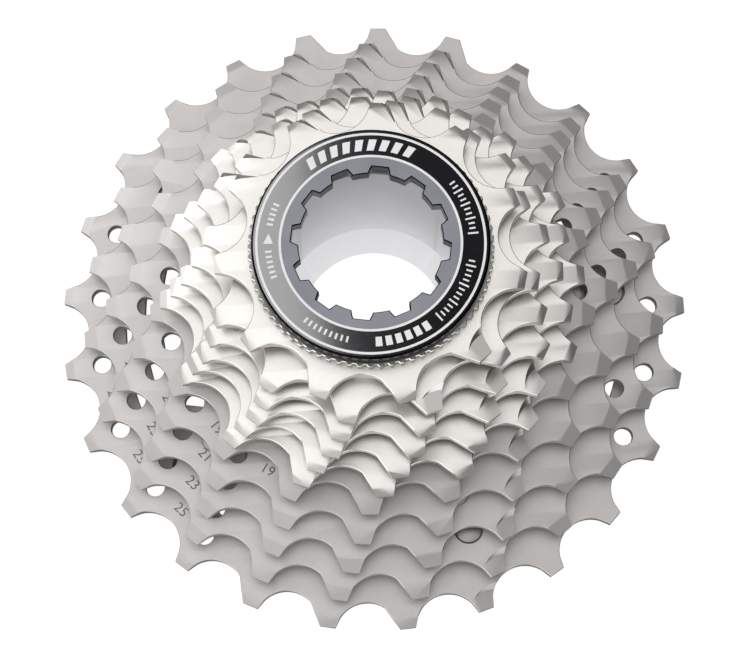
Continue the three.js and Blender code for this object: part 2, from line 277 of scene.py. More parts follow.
def tabbed_outline(open_radius, tab_radius, arms):
    """Inner edge of a riveted sprocket: wide open between the arms, with a tab at each arm."""
    step = 360 / arms["count"]
    points = []
    for i in range(arms["count"]):
        middle = arms["start"] + i * step
        tab = math.degrees(TAB_HALF_WIDTH / tab_radius)
        points += arc(tab_radius, middle - tab, middle + tab, 8)
        points += arc(open_radius, middle + tab + TAB_FLARE, middle + step - tab - TAB_FLARE, 24)
    return points


def spider_outline(reach, half_width, arms):
    """Straight arms with round ends on a ring that lies inside the hub's wall."""
    step = 360 / arms["count"]
    foot = math.degrees(math.asin(half_width / ARM_FOOT_RADIUS))
    points = []
    for i in range(arms["count"]):
        middle = arms["start"] + i * step
        points += arc(ARM_FOOT_RADIUS, middle - step + foot, middle - foot, 8)
        for degrees in range(-90, 91, 15):
            turn = math.radians(degrees)
            across = half_width * math.sin(turn)
            points.append(turned_by((reach - half_width + half_width * math.cos(turn), across), middle))
    return points


# ---------------------------------------------------------------- meshes


def loft(rings, closed=True, cap_ends=False, kinds=None):
    """Skin over rings of equally many points. kinds gives the material number of the band after each
    ring."""
    count = len(rings[0])
    verts = [tuple(point) for ring in rings for point in ring]
    faces, mats = [], []
    for r in range(len(rings) if closed else len(rings) - 1):
        low, high = r * count, ((r + 1) % len(rings)) * count
        for i in range(count):
            j = (i + 1) % count
            faces.append((low + i, low + j, high + j, high + i))
            mats.append(kinds[r] if kinds else 0)
    if cap_ends:
        faces.append(tuple(range(count))[::-1])
        faces.append(tuple((len(rings) - 1) * count + i for i in range(count)))
        mats += [0, 0]
    return verts, faces, mats


def ring3(loop, height):
    return [(point.x, point.y, height) for point in loop]


def directions(loop):
    return [math.degrees(math.atan2(point.y, point.x)) for point in loop]


def round_ring(angles, radius, height):
    """Circle with a point at each of the angles, to join onto an outline of as many points."""
    return [(*polar(radius, angle), height) for angle in angles]


def through(loop, bottom, top):
    """Straight cutter or block with the loop as its section."""
    return loft([ring3(loop, bottom), ring3(loop, top)], closed=False, cap_ends=True)


def plate(outer, holes, bottom, top, edge=EDGE):
    """Flat plate with a small chamfer round both faces, which has material number 1."""
    verts, faces, mats, loops = [], [], [], []
    for number, loop in enumerate([outer, *holes]):
        side = 1 if number == 0 else -1
        inner = offset(loop, -side * edge)
        rings = [
            ring3(inner, bottom),
            ring3(loop, bottom + edge),
            ring3(loop, top - edge),
            ring3(inner, top),
        ]
        first = len(verts)
        v, f, m = loft(rings, closed=False, kinds=[1, 0, 1])
        verts += v
        faces += [tuple(first + i for i in (face if side > 0 else face[::-1])) for face in f]
        mats += m
        loops.append((first, len(loop)))
    bottom_ring, top_ring = 0, 3
    for level in (bottom_ring, top_ring):
        rims = [range(first + level * count, first + (level + 1) * count) for first, count in loops]
        index = [i for rim in rims for i in rim]
        corners = [[Vector(verts[i]) for i in rim] for rim in rims]
        for triangle in tessellate_polygon(corners):
            a, b, c = (index[i] for i in triangle)
            turn = (Vector(verts[b]) - Vector(verts[a])).cross(Vector(verts[c]) - Vector(verts[a])).z
            upward = turn > 0
            faces.append((a, b, c) if upward == (level == top_ring) else (a, c, b))
            mats.append(0)
    return verts, faces, mats


def turned(profile, steps, centre):
    """Solid of revolution whose profile starts and ends on flat round ends."""
    rings = [ring3(circle(radius, steps, centre), height) for radius, height in profile]
    return loft(rings, closed=False, cap_ends=True)


def joined(*parts):
    verts, faces, mats = [], [], []
    for v, f, m in parts:
        first = len(verts)
        verts += v
        faces += [tuple(first + i for i in face) for face in f]
        mats += m
    return verts, faces, mats


def make(name, part, materials):
    """Object from a part in millimetres. A piece with one material has it on its edges too."""
    verts, faces, mats = part
    mesh = bpy.data.meshes.new(name)
    mesh.from_pydata([Vector(v) * MM for v in verts], [], faces)
    for material in materials:
        mesh.materials.append(material)
    mesh.polygons.foreach_set("material_index", [min(m, len(materials) - 1) for m in mats])
    mesh.update()
    obj = bpy.data.objects.new(name, mesh)
    bpy.context.scene.collection.objects.link(obj)
    return obj


def boolean(obj, part, operation):
    """Joins a part to an object, or cuts it away, and keeps the result as plain mesh."""
    tool = make("tool", part, obj.data.materials)
    modifier = obj.modifiers.new("boolean", "BOOLEAN")
    modifier.operation = operation
    modifier.object = tool
    modifier.solver = "MANIFOLD"
    bpy.context.view_layer.update()
    depsgraph = bpy.context.evaluated_depsgraph_get()
    mesh = bpy.data.meshes.new_from_object(obj.evaluated_get(depsgraph))
    obj.modifiers.clear()
    old = obj.data
    obj.data = mesh
    bpy.data.meshes.remove(old)
    bpy.data.objects.remove(tool)


SHARP_ANGLE = 28


def smooth(obj):
    obj.data.shade_smooth()
    obj.data.set_sharp_from_angle(angle=math.radians(SHARP_ANGLE))


WEDGE_HEIGHT = 1.5
WEDGE_BACK = 0.4


def wedge(origin, along, across, slope, length, reach):
    """Cutter over a sloping plane. The plane leaves the surface at the line through origin in the
    direction along, and sinks towards across by slope degrees."""
    along = Vector((*along, 0)).normalized()
    across = Vector((*across, 0)).normalized()
    start = Vector(origin)
    drop = math.tan(math.radians(slope))
    corners = []
    for far in (-WEDGE_BACK, reach):
        for side in (-length / 2, length / 2):
            base = start + along * side + across * far
            corners.append(base - Vector((0, 0, far * drop)))
            corners.append(Vector((base.x, base.y, start.z + WEDGE_HEIGHT)))
    faces = [(0, 1, 3, 2), (4, 6, 7, 5), (0, 4, 5, 1), (2, 3, 7, 6), (0, 2, 6, 4), (1, 5, 7, 3)]
    if along.cross(across).z > 0:
        faces = [face[::-1] for face in faces]
    return [tuple(c) for c in corners], faces, [0] * len(faces)


MILL_HEIGHT = 4
MILL_STEPS = 48


def mill(origin, radius, tilt_axis, slope):
    """Cutter like the end of a tilted conical milling tool that comes down on the surface at origin.
    The wall that it leaves has material number 1."""
    spin = Matrix.Rotation(math.radians(-slope), 3, Vector((*tilt_axis, 0)))
    rings = []
    for height in (0, MILL_HEIGHT):
        ring = []
        for point in circle(radius + height * math.tan(math.radians(POCKET_WALL)), MILL_STEPS):
            ring.append(tuple(Vector(origin) + spin @ Vector((point.x, point.y, height))))
        rings.append(ring)
    # Material number 1 on the wall is the lighter edge colour, a painted highlight.
    return loft(rings, closed=False, cap_ends=True, kinds=[1])


# ---------------------------------------------------------------- materials


NOISE_ROUGHNESS = 0.55
NOISE_SPAN = (0.3, 0.7)  # the part of the noise's range that carries the change
MOTTLE_SCALE = 260
MOTTLE_DETAIL = 4
GRAIN_DETAIL = 2
BUMP_STRENGTH = 0.6


class Nodes:
    """Small helper that adds nodes to a material and links them."""

    def __init__(self, name):
        self.material = bpy.data.materials.new(name)
        self.material.use_nodes = True
        self.tree = self.material.node_tree
        self.shader = self.tree.nodes["Principled BSDF"]
        self.place = self.add("ShaderNodeTexCoord").outputs["Object"]

    def add(self, kind):
        return self.tree.nodes.new(kind)

    def link(self, source, target):
        self.tree.links.new(source, target)

    def noise(self, scale, detail):
        node = self.add("ShaderNodeTexNoise")
        node.inputs["Scale"].default_value = scale
        node.inputs["Detail"].default_value = detail
        node.inputs["Roughness"].default_value = NOISE_ROUGHNESS
        self.link(self.place, node.inputs["Vector"])
        return node.outputs["Fac"]

    def ramp(self, source, low, high):
        node = self.add("ShaderNodeValToRGB")
        for element, position, colour in zip(node.color_ramp.elements, NOISE_SPAN, (low, high)):
            element.position = position
            element.color = (*colour, 1)
        self.link(source, node.inputs["Fac"])
        return node.outputs["Color"]

    def span(self, source, low, high):
        node = self.add("ShaderNodeMapRange")
        node.inputs["From Min"].default_value, node.inputs["From Max"].default_value = NOISE_SPAN
        node.inputs["To Min"].default_value = low
        node.inputs["To Max"].default_value = high
        self.link(source, node.inputs["Value"])
        return node.outputs["Result"]

    def bump(self, source, distance):
        node = self.add("ShaderNodeBump")
        node.inputs["Strength"].default_value = BUMP_STRENGTH
        node.inputs["Distance"].default_value = distance
        self.link(source, node.inputs["Height"])
        return node.outputs["Normal"]


def grained(name, low, high, rough, metallic, grain=5200, grain_depth=0.006, glow=0.0):
    """Surface with soft mottling in its colour and a fine grain in its gloss and relief. The grain's
    depth is in millimetres, and its scale in waves a metre. The glow is painted light: an emission that
    stands in for light coming through a translucent wall."""
    n = Nodes(name)
    cloud = n.noise(MOTTLE_SCALE, MOTTLE_DETAIL)
    fine = n.noise(grain, GRAIN_DETAIL)
    n.link(n.ramp(cloud, low, high), n.shader.inputs["Base Color"])
    n.link(n.span(fine, *rough), n.shader.inputs["Roughness"])
    n.link(n.bump(fine, grain_depth * MM), n.shader.inputs["Normal"])
    n.shader.inputs["Metallic"].default_value = metallic
    n.shader.inputs["Emission Color"].default_value = (1, 1, 1, 1)
    n.shader.inputs["Emission Strength"].default_value = glow
    return n.material


# Name, two tones of the mottling, least and greatest roughness, metallic
TITANIUM = grained("titanium", (0.508, 0.490, 0.475), (0.550, 0.532, 0.518), (0.46, 0.54), 0.85)
# The two edge materials are lighter copies of the face colours: a painted highlight on the chamfers and
# milled pocket walls. Their lower roughness is real gloss.
TITANIUM_EDGE_HIGHLIGHT = grained("titanium_edge_highlight", (0.58, 0.57, 0.56), (0.64, 0.63, 0.62), (0.30, 0.40), 1.0)
NICKEL = grained("nickel", (0.67, 0.648, 0.620), (0.71, 0.688, 0.660), (0.30, 0.38), 1.0,
                 grain=3600, grain_depth=0.002)
NICKEL_EDGE_HIGHLIGHT = grained("nickel_edge_highlight", (0.84, 0.83, 0.81), (0.90, 0.89, 0.87), (0.16, 0.24), 1.0)
WASHER_STEEL = grained("washer_steel", (0.20, 0.195, 0.187), (0.30, 0.293, 0.28), (0.26, 0.36), 1.0,
                       grain=3600)
ALUMINIUM = grained("aluminium", (0.33, 0.34, 0.36), (0.40, 0.41, 0.43), (0.36, 0.46), 1.0)
COMPOSITE = grained("composite", (0.018, 0.018, 0.020), (0.035, 0.035, 0.038), (0.38, 0.55), 0.0,
                    grain=2600)
SPACER = grained("spacer", (0.10, 0.10, 0.11), (0.15, 0.15, 0.16), (0.40, 0.52), 0.4)
RIVET = grained("rivet", (0.30, 0.29, 0.28), (0.38, 0.37, 0.355), (0.36, 0.46), 1.0)
# The sleeve's faint glow and the seat's much stronger one are painted light. The seat is the sleeve's
# colour made to glow, so that it looks lit from the bore.
SLEEVE = grained("sleeve", (0.84, 0.84, 0.85), (0.88, 0.88, 0.89), (0.34, 0.42), 0.0,
                 grain=4200, glow=0.03)
SLEEVE_SEAT = grained("sleeve_seat", (0.84, 0.84, 0.85), (0.88, 0.88, 0.89), (0.34, 0.42), 0.0,
                      grain=4200, glow=0.24)
BLACK = grained("black_band", (0.0004, 0.0004, 0.0006), (0.0008, 0.0008, 0.0011), (0.09, 0.11), 0.0,
                grain=4000, grain_depth=0.0005)
BLACK.node_tree.nodes["Principled BSDF"].inputs["Specular IOR Level"].default_value = 0.05
RING_FACE = grained("ring_face", (0.20, 0.205, 0.23), (0.235, 0.24, 0.265), (0.36, 0.44), 1.0, grain=6200)
PRINT_WHITE = grained("print_white", (0.86, 0.86, 0.86), (0.93, 0.93, 0.93), (0.40, 0.50), 0.0)
ENGRAVED = grained("engraved", (0.13, 0.125, 0.12), (0.22, 0.215, 0.21), (0.55, 0.70), 0.4)
ENGRAVED_NICKEL = grained("engraved_nickel", (0.34, 0.33, 0.32), (0.46, 0.45, 0.44), (0.50, 0.62), 0.6)


# ---------------------------------------------------------------- pieces


BODY_OF = {}
for body_name, nodes in frame["record"]["behaviour"]["bodies"].items():
    for node_name in nodes:
        BODY_OF[node_name] = body_name


def back_face(index):
    return STACK_START + index * SPROCKET_STEP


def front_face(index):
    return back_face(index) + SPROCKET_THICKNESS


def stand_for(obj, node):
    """The piece takes the place of a CAD node and moves with it."""
    smooth(obj)
    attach(obj, BODY_OF[node])
    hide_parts(node)


def add_mark(obj, node):
    """A mark lies on the piece of a CAD node and moves with it."""
    smooth(obj)
    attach(obj, BODY_OF[node])


def arm_places(radius, arms):
    return [polar(radius, arms["start"] + i * 360 / arms["count"]) for i in range(arms["count"])]


def tooth_holes(index):
    spec = SPROCKETS[index]
    radius = root_radius(spec["teeth"]) - spec["hole_depth"]
    places = [polar(radius, tooth_angle(spec, tooth)) for tooth in spec["holes"]]
    return [circle(HOLE_RADIUS, HOLE_STEPS, place) for place in places]


def rivet_holes(radii, arms):
    places = [place for radius in radii for place in arm_places(radius, arms)]
    return [circle(RIVET_RADIUS + FIT_GAP, RIVET_HOLE_STEPS, place) for place in places]


def tip_cutters(index):
    """One slanted cut across the front of each tooth tip."""
    spec = SPROCKETS[index]
    tip = root_radius(spec["teeth"]) + TOOTH_HEIGHT
    slope = TIP_SLOPE if index < FIRST_NICKEL else NICKEL_TIP_SLOPE
    reach = spec["bevel"] + CUT_CLEARANCE
    skipped = {spec["ramp"], *spec.get("plain", [])}
    parts = []
    for tooth in range(spec["teeth"]):
        if tooth in skipped:
            continue
        angle = tooth_angle(spec, tooth)
        out = polar(1, angle)
        side = Vector((-out.y, out.x))
        place = (*polar(tip - spec["bevel"], angle), front_face(index))
        parts.append(wedge(place, side, out, slope, TIP_CUT_LENGTH, reach))
    return joined(*parts)


def strip_cutters(index):
    """A narrow steep strip down the gentle flank of the gate teeth that stand at the top."""
    spec = SPROCKETS[index]
    root = root_radius(spec["teeth"])
    tip = root + TOOTH_HEIGHT
    foot = Vector((root + GULLET_RADIUS, 0)) - GULLET_RADIUS * polar(1, -GATE_HALF_ANGLE)
    half_tip = math.degrees(TIP_WIDTH / 2 / tip)
    reach = STRIP_WIDTH + STRIP_OVERRUN
    parts = []
    for i in range(GATE_TEETH):
        angle = tooth_angle(spec, spec["gates"][0] + i)
        corner = polar(tip, angle - half_tip)
        flank = (turned_by(foot, angle - 180 / spec["teeth"]) - corner).normalized()
        inward = Vector((-flank.y, flank.x))
        line = turned_by(flank, STRIP_TAPER)
        middle = corner + flank * (STRIP_LENGTH / 2 - STRIP_OVERLAP) + inward * STRIP_WIDTH
        place = (*middle, front_face(index))
        parts.append(wedge(place, line, -inward, STRIP_SLOPE, STRIP_LENGTH, reach))
    return joined(*parts)


def pocket_cutter(index):
    """The milled pocket in the tip of the ramp tooth."""
    spec = SPROCKETS[index]
    tip = root_radius(spec["teeth"]) + TOOTH_HEIGHT
    angle = tooth_angle(spec, spec["ramp"])
    out = polar(1, angle)
    side = Vector((-out.y, out.x))
    centre = polar(tip - POCKET_DEPTH + POCKET_RADIUS, angle) + side * POCKET_SHIFT
    sink = math.tan(math.radians(POCKET_SLOPE)) * (POCKET_SHIFT + TIP_WIDTH / 2)
    return mill((*centre, front_face(index) - sink), POCKET_RADIUS, out, POCKET_SLOPE)


def cut_teeth(obj, index):
    """Bevels the tips, cuts the strips on all but the back sprocket, and mills the pocket."""
    boolean(obj, tip_cutters(index), "DIFFERENCE")
    if index > 0:
        boolean(obj, strip_cutters(index), "DIFFERENCE")
    boolean(obj, pocket_cutter(index), "DIFFERENCE")


def riveted_sprocket(index, open_radius, tab_radius, radii, arms, counterbored=None):
    """Sprocket on a carrier's arms. Where its rivets are counterbored, the blind one has no hole."""
    spec = SPROCKETS[index]
    top = front_face(index)
    riveted = rivet_holes(radii, arms)
    if counterbored:
        del riveted[BLIND_RIVET]
    holes = [tabbed_outline(open_radius, tab_radius, arms), *tooth_holes(index), *riveted]
    part = plate(tooth_outline(spec), holes, back_face(index), top)
    name = f"sprocket_{spec['teeth']}"
    # The chamfers and the pocket wall take the lighter edge colour, a painted highlight.
    obj = make(f"{name}_detail", part, [TITANIUM, TITANIUM_EDGE_HIGHLIGHT])
    cut_teeth(obj, index)
    places = arm_places(counterbored, arms) if counterbored else []
    for i, place in enumerate(places):
        if i == BLIND_RIVET:
            continue
        ring = circle(COUNTERBORE["radius"], HOLE_STEPS, place)
        boolean(obj, through(ring, top - COUNTERBORE["depth"], top + CUT_CLEARANCE), "DIFFERENCE")
    stand_for(obj, name)


def nickel_sprocket(index, shoulder_radius=None):
    """Loose sprocket. With a shoulder radius, its spacer is one piece with it."""
    spec = SPROCKETS[index]
    name = f"sprocket_{spec['teeth']}"
    back, front = back_face(index), front_face(index)
    holes = [] if shoulder_radius else [spline_bore()]
    # The chamfers and the pocket wall take the lighter edge colour, a painted highlight.
    obj = make(f"{name}_detail", plate(tooth_outline(spec), holes, back, front), [NICKEL, NICKEL_EDGE_HIGHLIGHT])
    if shoulder_radius:
        bottom = front_face(index - 1) + FACE_GAP
        outline = circle(shoulder_radius, RING_STEPS)
        shoulder = plate(outline, [], bottom, back + SPROCKET_THICKNESS / 2)
        boolean(obj, shoulder, "UNION")
        bore = through(spline_bore(), bottom - CUT_CLEARANCE, front + CUT_CLEARANCE)
        boolean(obj, bore, "DIFFERENCE")
    cut_teeth(obj, index)
    stand_for(obj, name)


def numbers(index, gullets, depth, size, finish):
    """The tooth count, marked on the face below some gullets with its foot outwards. A gullet number
    that ends in a half is the place of a tooth."""
    spec = SPROCKETS[index]
    name = f"sprocket_{spec['teeth']}"
    curve = bpy.data.curves.new("number", "FONT")
    curve.body = str(spec["teeth"])
    curve.size = size * MM
    curve.extrude = MARK_THICKNESS * MM
    curve.resolution_u = 4
    curve.align_x = "CENTER"
    curve.align_y = "CENTER"
    sample = bpy.data.objects.new("number", curve)
    bpy.context.scene.collection.objects.link(sample)
    bpy.context.view_layer.update()
    depsgraph = bpy.context.evaluated_depsgraph_get()
    mesh = bpy.data.meshes.new_from_object(sample.evaluated_get(depsgraph))
    faces = [tuple(face.vertices) for face in mesh.polygons]
    parts = []
    for gullet in gullets:
        angle = tooth_angle(spec, gullet - 0.5)
        place = polar(root_radius(spec["teeth"]) - depth, angle)
        verts = []
        for vertex in mesh.vertices:
            flat = turned_by(vertex.co / MM, angle + 90) + place
            verts.append((flat.x, flat.y, front_face(index) + vertex.co.z / MM))
        parts.append((verts, faces, [0] * len(faces)))
    bpy.data.objects.remove(sample)
    bpy.data.meshes.remove(mesh)
    add_mark(make(f"{name}_number", joined(*parts), [finish]), name)


def spacer(name, index):
    """Ring between a sprocket and the one behind it, with a few lugs in the wide grooves."""
    step = 360 / SPACER_LUGS
    lugs = []
    for i in range(SPACER_LUGS):
        middle = 90 + SPLINE_STEP + i * step
        lugs += arc(SPLINE_MINOR, middle - LUG_HALF_ANGLE, middle + LUG_HALF_ANGLE, 6)
        lugs += arc(SPLINE_MAJOR, middle + LUG_HALF_ANGLE, middle + step - LUG_HALF_ANGLE, 40)
    bottom = front_face(index - 1) + FACE_GAP
    top = back_face(index) - FACE_GAP
    part = plate(circle(SPACER_RADIUS, RING_STEPS), [lugs], bottom, top, SPACER_EDGE)
    stand_for(make(f"{name}_detail", part, [SPACER]), name)


def spider_arms(arms, bottom, top, reach, half_width):
    outline = spider_outline(reach, half_width, arms)
    return plate(outline, [], bottom + FACE_GAP, top - FACE_GAP, ARM_EDGE)


def carrier(name, bottom, top, layers, holes, finish):
    """Hub with layers of arms, then its splined bore and its rivet holes."""
    hub = plate(circle(HUB_RADIUS, HUB_STEPS), [], bottom, top, HUB_EDGE)
    obj = make(f"{name}_detail", hub, [finish])
    for layer in layers:
        boolean(obj, layer, "UNION")
    for loop in [spline_bore(), *holes]:
        boolean(obj, through(loop, bottom - CUT_CLEARANCE, top + CUT_CLEARANCE), "DIFFERENCE")
    stand_for(obj, name)


def rivets(name, radius, arms, bottom, top, sunk=0.0):
    """Rivets with flat heads. Sunk front heads lie below where they would stand on the face, and the
    blind one has none."""
    low = bottom - FACE_GAP
    high = top + FACE_GAP - sunk
    back = low - RIVET_HEAD_THICKNESS
    front = high + RIVET_HEAD_THICKNESS
    back_head = [(RIVET_HEAD_RADIUS - inward, back + below) for inward, below in RIVET_RIM[::-1]]
    back_head += [(RIVET_HEAD_RADIUS, low), (RIVET_RADIUS, low)]
    front_head = [(RIVET_RADIUS, high), (RIVET_HEAD_RADIUS, high)]
    front_head += [(RIVET_HEAD_RADIUS - inward, front - below) for inward, below in RIVET_RIM]
    end = back_face(1) - FACE_GAP
    blunt_end = [(RIVET_RADIUS, end - RIVET_END_EDGE), (RIVET_RADIUS - RIVET_END_EDGE, end)]
    for i, place in enumerate(arm_places(radius, arms)):
        node = f"{name}_{i + 1}"
        tail = blunt_end if sunk and i == BLIND_RIVET else front_head
        part = turned([*back_head, *tail], HOLE_STEPS, place)
        stand_for(make(f"{node}_detail", part, [RIVET]), node)


def sleeve():
    """Grooved sleeve. The wall below its bore tapers to a seat, which has material number 1."""
    outline = spline_outline(SPLINE_MAJOR - FIT_GAP, SPLINE_MINOR - FIT_GAP, GROOVE_SIDE_ANGLE)
    inset = offset(outline, -SLEEVE_EDGE)
    angles = directions(outline)
    shape = [
        (ring3(inset, 0), 0),
        (ring3(outline, SLEEVE_EDGE), 0),
        (ring3(outline, SLEEVE_TOP - SLEEVE_EDGE), 0),
        (ring3(inset, SLEEVE_TOP), 0),
        (round_ring(angles, THREAD_RADIUS + FIT_GAP, SLEEVE_TOP), 0),
        (round_ring(angles, THREAD_RADIUS + FIT_GAP, THREAD_START), 0),
        (round_ring(angles, SLEEVE_BORE, THREAD_START), 0),
        (round_ring(angles, SLEEVE_BORE, SLEEVE_SEAT_HEIGHT), 1),
        (round_ring(angles, SLEEVE_SEAT_RADIUS, SLEEVE_EDGE), 1),
        (round_ring(angles, SLEEVE_SEAT_RADIUS + SLEEVE_EDGE, 0), 0),
    ]
    rings, kinds = zip(*shape)
    # Material number 1, the seat, glows more: painted light on the seat.
    obj = make("core_sleeve_detail", loft(rings, kinds=kinds), [SLEEVE, SLEEVE_SEAT])
    stand_for(obj, "core_sleeve")


def washer():
    """Ring with a serrated rim. The tips and the roots of its teeth are flats of equal angle."""
    quarter = 90 / WASHER_TEETH
    flat = 0.6 * quarter
    low = WASHER_RADIUS - WASHER_SERRATION
    rim = []
    for i in range(WASHER_TEETH):
        tip = i * 4 * quarter
        root = tip + 2 * quarter
        rim += [polar(WASHER_RADIUS, tip - flat), polar(WASHER_RADIUS, tip + flat)]
        rim += [polar(low, root - flat), polar(low, root + flat)]
    bottom = front_face(len(SPROCKETS) - 1) + FACE_GAP
    top = LOCKRING_TOP - FLANGE_THICKNESS - FACE_GAP
    bore = circle(THREAD_RADIUS + FIT_GAP, RING_STEPS)
    part = plate(rim, [bore], bottom, top, WASHER_EDGE)
    # Its chamfers take the lighter nickel edge colour, a painted highlight.
    obj = make("lockring_washer_detail", part, [WASHER_STEEL, NICKEL_EDGE_HIGHLIGHT])
    stand_for(obj, "lockring_washer")


def notched_outline(grow=0.0):
    """Inner edge of the lockring: lobes between twelve notches for the tool."""
    inner, outer = (width / 2 + grow for width in NOTCH_WIDTHS)
    step = 360 / NOTCH_COUNT
    lobe = LOBE_RADIUS + grow
    points = []
    for i in range(NOTCH_COUNT):
        middle = NOTCH_START + i * step
        mouth = math.degrees(math.asin(inner / lobe))
        points.append(polar(lobe, middle - mouth))
        for t in (0.5, 1.0):
            along = lobe + (NOTCH_RADIUS + grow - lobe) * t
            points.append(turned_by((along, -(inner + (outer - inner) * t)), middle))
        for t in (-0.5, 0, 0.5):
            points.append(turned_by((NOTCH_RADIUS + grow, outer * t), middle))
        for t in (1.0, 0.5):
            along = lobe + (NOTCH_RADIUS + grow - lobe) * t
            points.append(turned_by((along, inner + (outer - inner) * t), middle))
        points += arc(lobe, middle + mouth, middle + step - mouth, 9)[:-1]
    return points


THREAD_RINGS = 60
THREAD_FADE = 8  # rings over which the thread runs out at either end
THREAD_CREST = 1.25  # above 1, the crest is flat
THREAD_BOTTOM = LOCKRING_BOTTOM + 0.35
THREAD_TOP = LOCKRING_TOP - NOTCH_DEPTH - 0.6


def thread_rings(angles):
    """Rings up the shank whose radius follows the thread's flanks."""
    rings = []
    for s in range(THREAD_RINGS + 1):
        height = THREAD_BOTTOM + (THREAD_TOP - THREAD_BOTTOM) * s / THREAD_RINGS
        fade = min(1.0, s / THREAD_FADE, (THREAD_RINGS - s) / THREAD_FADE)
        ring = []
        for angle in angles:
            phase = (height / THREAD_LEAD - angle / 360) % 1
            crest = min(1, (1 - abs(phase * 2 - 1)) * THREAD_CREST)
            ring.append((*polar(THREAD_RADIUS - THREAD_DEPTH * (1 - fade * crest), angle), height))
        rings.append(ring)
    return rings


def print_plate(outline, holes=()):
    return plate(outline, holes, LOCKRING_TOP - 2 * PRINT_THICKNESS, LOCKRING_TOP, PRINT_EDGE)


# Rows of plain marks in place of lettering: how many, the first one's angle, the angle from one to the
# next, and a mark's width in degrees and its half height. A slanted row leans by some degrees. In a
# ruled row every third or fourth mark is taller.
RULE_HEIGHT = 0.75
MARK_ROWS = [
    {"count": 9, "start": 62, "step": 7.2, "width": 4.2, "height": 0.85, "slant": -1.6},
    {"count": 12, "start": 0, "step": 2.9, "width": 1.0, "height": 0.45, "ruled": 3},
    {"count": 14, "start": 306, "step": 2.9, "width": 1.0, "height": 0.45, "ruled": 4},
    {"count": 6, "start": 268, "step": 5.6, "width": 3.6, "height": 0.7},
    {"count": 9, "start": 226, "step": 3.2, "width": 1.2, "height": 0.45},
    {"count": 6, "start": 180, "step": 3.0, "width": 1.2, "height": 0.45},
    {"count": 5, "start": 152, "step": 3.0, "width": 1.2, "height": 0.45},
]
ARROW = {"foot": 176, "tip": 170, "height": 0.7}
MARK_STEPS = 6


def marks():
    """The rows of marks and an arrow between two of them."""
    parts = []
    for row in MARK_ROWS:
        slant = row.get("slant", 0)
        for i in range(row["count"]):
            start = row["start"] + i * row["step"]
            end = start + row["width"]
            tall = RULE_HEIGHT if "ruled" in row and i % row["ruled"] == 0 else row["height"]
            outer = arc(INK_MIDDLE + tall, start + slant, end + slant, MARK_STEPS)
            parts.append(print_plate([*outer, *arc(INK_MIDDLE - tall, end, start, MARK_STEPS)]))
    foot_low = polar(INK_MIDDLE - ARROW["height"], ARROW["foot"])
    foot_high = polar(INK_MIDDLE + ARROW["height"], ARROW["foot"])
    parts.append(print_plate([foot_low, polar(INK_MIDDLE, ARROW["tip"]), foot_high]))
    return parts


def lockring():
    """The lockring, the marks printed on it and its black band, which is returned for the lights. The
    edges of the notches are as black as the band."""
    ink, bare, metal = 0, 1, 2
    face = LOCKRING_TOP - PRINT_THICKNESS
    floor_of_notch = LOCKRING_TOP - NOTCH_DEPTH
    flange = LOCKRING_TOP - FLANGE_THICKNESS
    mouth = notched_outline(NOTCH_EDGE)
    throat = notched_outline()
    angles = directions(throat)
    core = THREAD_RADIUS - THREAD_DEPTH
    shape = [
        (ring3(mouth, face), ink),
        (ring3(throat, face - NOTCH_EDGE), bare),
        (ring3(throat, floor_of_notch + NOTCH_EDGE), ink),
        (ring3(throat, floor_of_notch), metal),
        (round_ring(angles, SHANK_BORE, floor_of_notch - NOTCH_FLOOR_DROP), metal),
        (round_ring(angles, SHANK_BORE, LOCKRING_BOTTOM + SHANK_EDGE), metal),
        (round_ring(angles, SHANK_BORE + SHANK_EDGE, LOCKRING_BOTTOM), metal),
        (round_ring(angles, core - SHANK_EDGE, LOCKRING_BOTTOM), metal),
        *((ring, metal) for ring in thread_rings(angles)),
        (round_ring(angles, core, flange), ink),
        (round_ring(angles, LOCKRING_RADIUS - FLANGE_EDGE, flange), ink),
        (round_ring(angles, LOCKRING_RADIUS, flange + FLANGE_EDGE), ink),
        (round_ring(angles, LOCKRING_RADIUS, face - BAND_EDGE), ink),
        (round_ring(angles, LOCKRING_RADIUS - BAND_EDGE, face), ink),
        (round_ring(angles, INK_INNER, face), bare),
    ]
    rings, kinds = zip(*shape)
    part = loft([ring[::-1] for ring in rings], kinds=kinds)
    stand_for(make("lockring_detail", part, [BLACK, RING_FACE, ALUMINIUM]), "lockring")

    printed = []
    for radius in (INK_INNER, INK_OUTER):
        hole = circle(radius - LINE_WIDTH / 2, PRINT_STEPS)
        printed.append(print_plate(circle(radius + LINE_WIDTH / 2, PRINT_STEPS), [hole]))
    ink_marks = make("lockring_print", joined(*printed, *marks()), [PRINT_WHITE])
    add_mark(ink_marks, "lockring")

    outer = circle(LOCKRING_RADIUS - BAND_EDGE, PRINT_STEPS)
    hole = circle(INK_INNER, PRINT_STEPS)
    part = plate(outer, [hole], face - BAND_SINK, face + BAND_RISE, PRINT_EDGE)
    band = make("lockring_band", part, [BLACK])
    add_mark(band, "lockring")
    return band


